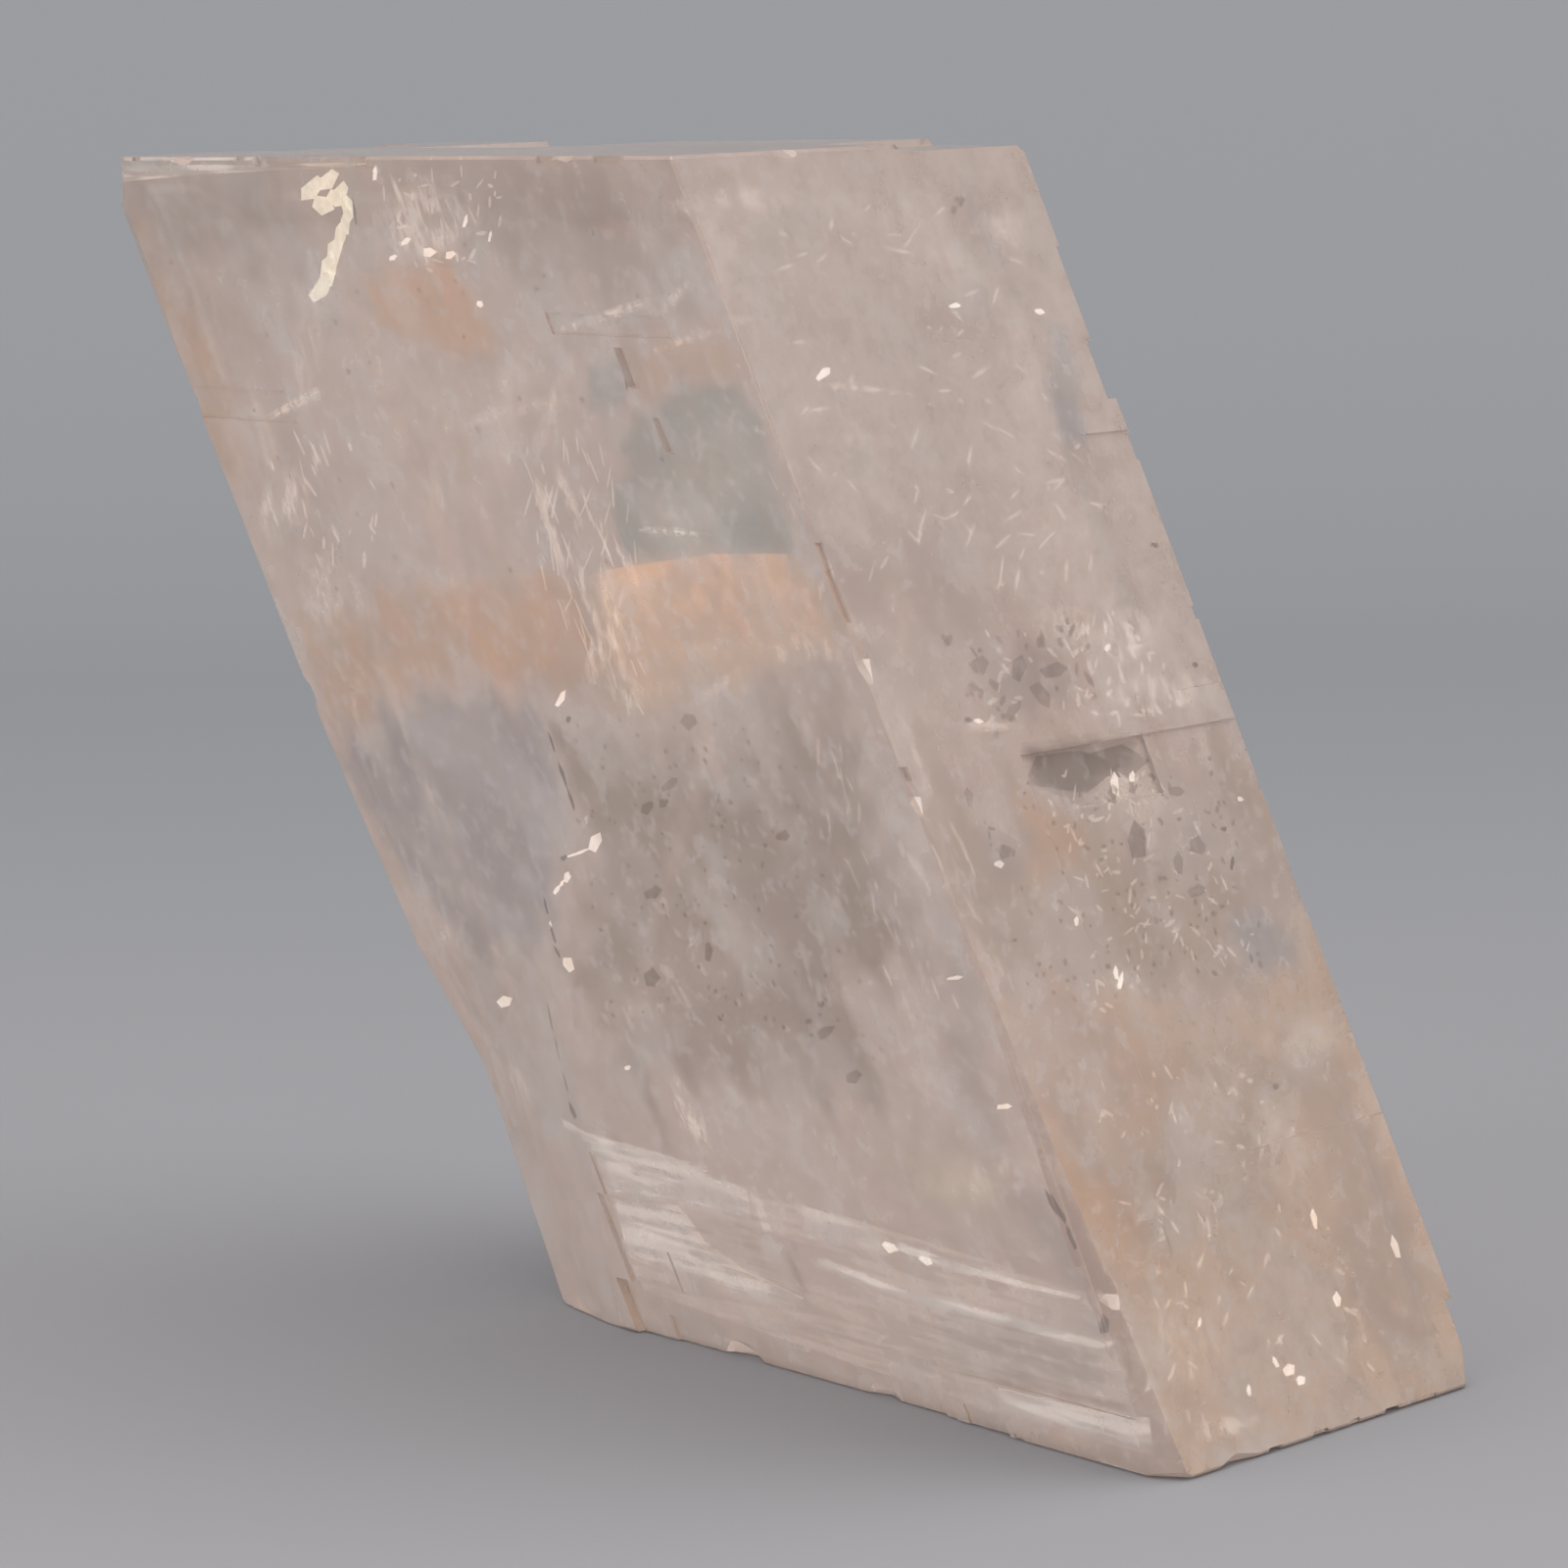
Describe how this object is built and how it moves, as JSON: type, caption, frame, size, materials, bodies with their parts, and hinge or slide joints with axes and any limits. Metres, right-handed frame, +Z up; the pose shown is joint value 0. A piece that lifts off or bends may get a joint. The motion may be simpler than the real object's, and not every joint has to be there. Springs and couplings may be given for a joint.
{
  "type": "iceland spar cleavage rhomb",
  "caption": "Clear, slightly milky calcite rhomb that stands leaning on one flat face, with cleavage ledges, chips and iron-stained zones inside.",
  "frame": {"origin": "on the surface that the crystal stands on, under the middle of its bounding box", "axes": "+Z up; -Y towards the front edge between the two broad visible faces; +X to the right, the way the foot leans out"},
  "size_m": [0.0622, 0.0544, 0.0567],
  "materials": {
    "clear_spar": "clear calcite, softly milky and peach grey, satin cleavage faces"
  },
  "bodies": {
    "root": {"spar_crystal": "clear_spar"}
  },
  "joints": []
}
